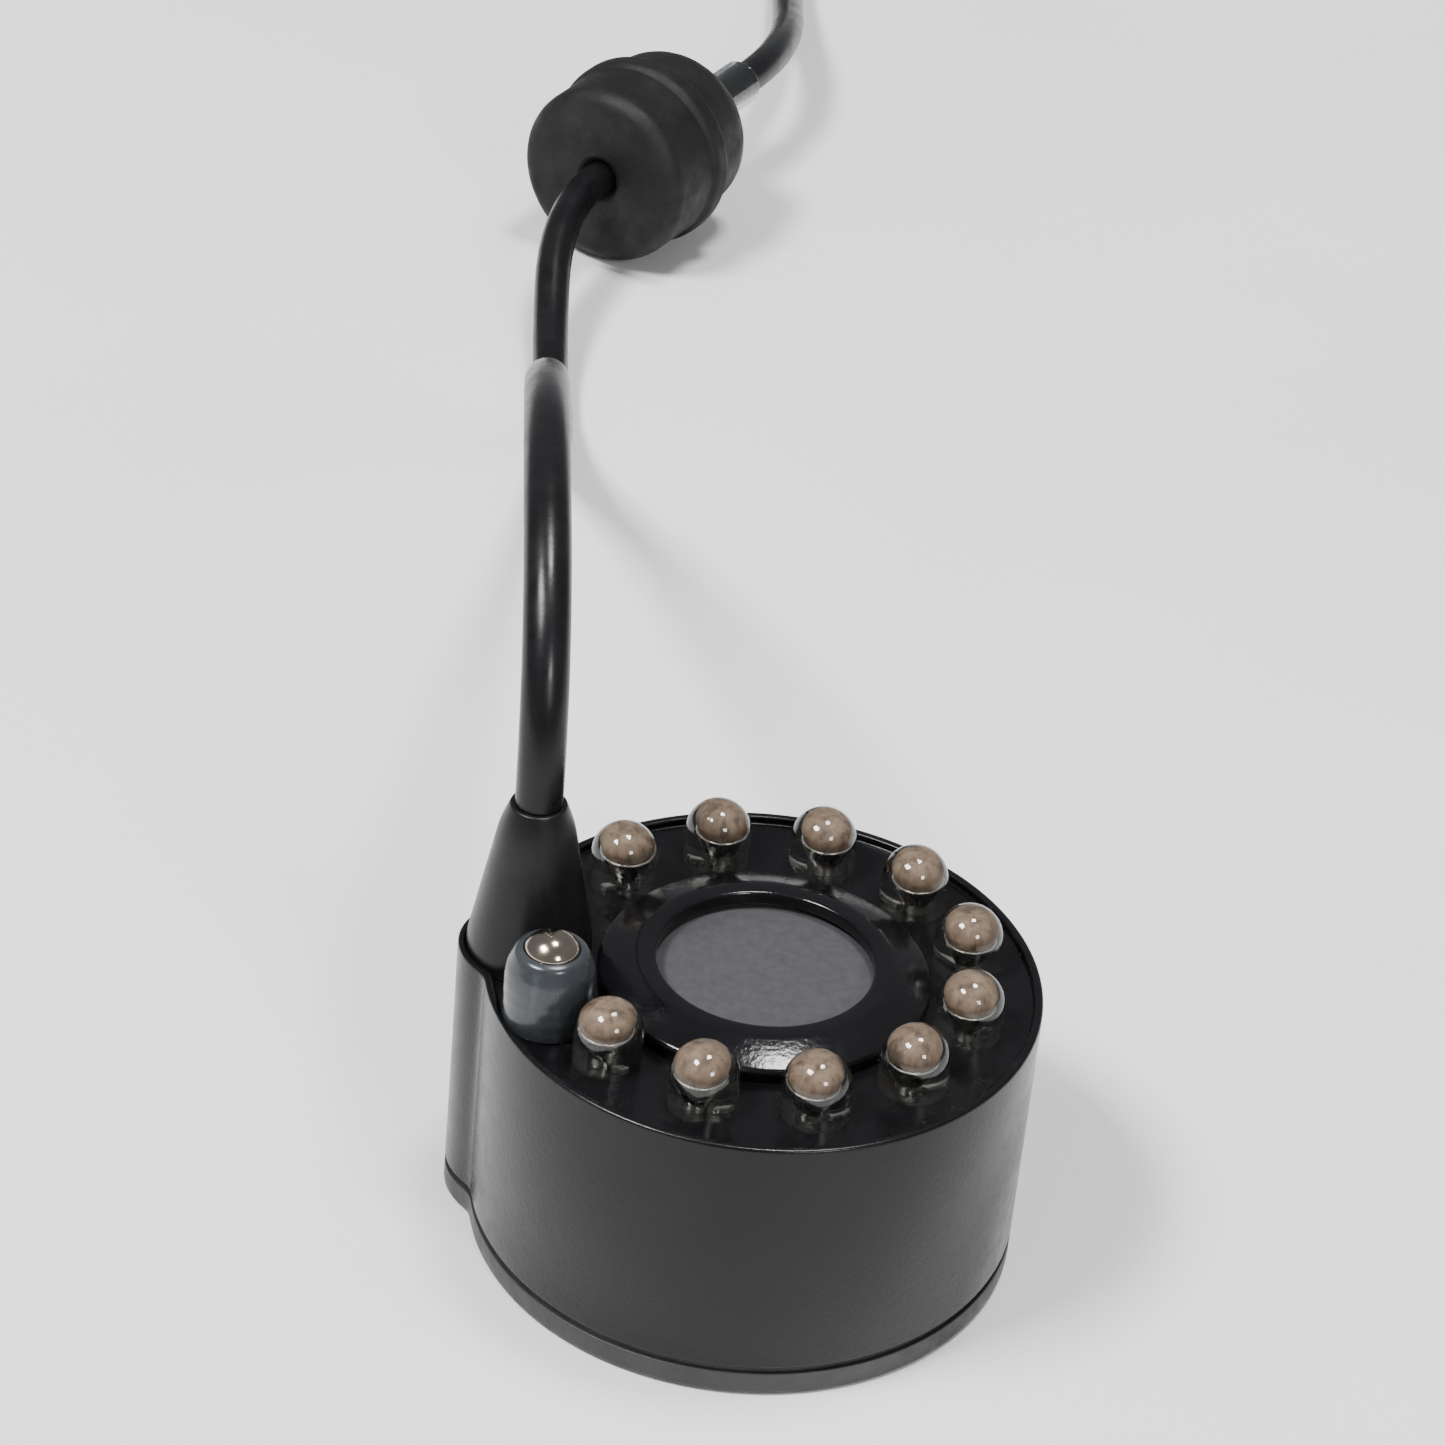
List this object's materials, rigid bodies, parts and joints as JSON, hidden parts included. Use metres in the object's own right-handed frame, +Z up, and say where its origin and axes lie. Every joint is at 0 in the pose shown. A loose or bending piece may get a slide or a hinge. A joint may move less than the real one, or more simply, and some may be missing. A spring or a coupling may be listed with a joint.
{
  "type": "submersible ultrasonic mist maker",
  "caption": "Round submersible mist maker for a tabletop fountain: ceramic disc under a screw ring, clear lamps round it, level sensor, lead with rubber bung, coil and barrel plug.",
  "frame": {"origin": "on the housing's axis at its flat underside", "axes": "+Z up along the disc's axis, -X towards the sensor and the lead's boot, +Y the way the lead runs"},
  "size_m": [0.0727, 0.311, 0.0561],
  "materials": {
    "black_shell": "satin",
    "black_cover": "matt",
    "seal_rubber": "matt",
    "steel": "satin",
    "nylon": "matt",
    "disc_face": "satin",
    "brass": "satin",
    "clear_lamp": "gloss",
    "tinned": "satin",
    "board_green": "satin",
    "aluminium": "satin",
    "moulding": "matt",
    "ferrite": "matt",
    "copper": "gloss",
    "capacitor": "gloss",
    "smoke_sleeve": "gloss",
    "black_rubber": "matt",
    "lead_black": "satin",
    "wire": "satin",
    "clear_tube": "gloss",
    "nickel": "gloss"
  },
  "bodies": {
    "unit": {"housing_shell": "black_shell", "base_cover": "black_cover", "cover_seal": "seal_rubber", "disc_gasket": "seal_rubber", "sensor_seal_ring": "seal_rubber", "cover_screws": "steel", "sensor_pin": "steel", "sensor_nut": "steel", "board_pillars": "nylon", "atomiser_disc": "disc_face", "centre_contact": "brass", "rim_contact": "brass", "plug_contact": "brass", "led_lamps": "clear_lamp", "led_leads": "tinned", "led_board": "board_green", "driver_board": "board_green", "heat_spreader": "aluminium", "power_transistor": "moulding", "control_chip": "moulding", "plug_insulator": "moulding", "choke_cores": "ferrite", "choke_windings": "copper", "capacitors": "capacitor", "sensor_sleeve": "smoke_sleeve", "cord_boot": "black_rubber", "cord_bung": "black_rubber", "cord_lead": "lead_black", "cord_coil": "lead_black", "cord_tail": "lead_black", "plug_body": "lead_black", "cord_grip": "lead_black", "inner_wires": "wire", "clear_sleeve": "clear_tube", "plug_barrel": "nickel"},
    "washer": {"slip_washer": "nylon"},
    "ring": {"retaining_ring": "black_shell"}
  },
  "joints": [
    {"name": "ring_lift", "type": "slide", "parent": "unit", "child": "washer", "axis": [0, 0, 1], "range_m": [0, 0.00301]},
    {"name": "ring_turn", "type": "hinge", "parent": "washer", "child": "ring", "pos_m": [0, 0, 0.0225], "axis": [0, 0, 1], "range_deg": [0, 1080]}
  ],
  "couplings": [
    {"joint": "ring_lift", "follows": "ring_turn", "m_per_rad": 0.00015915}
  ]
}
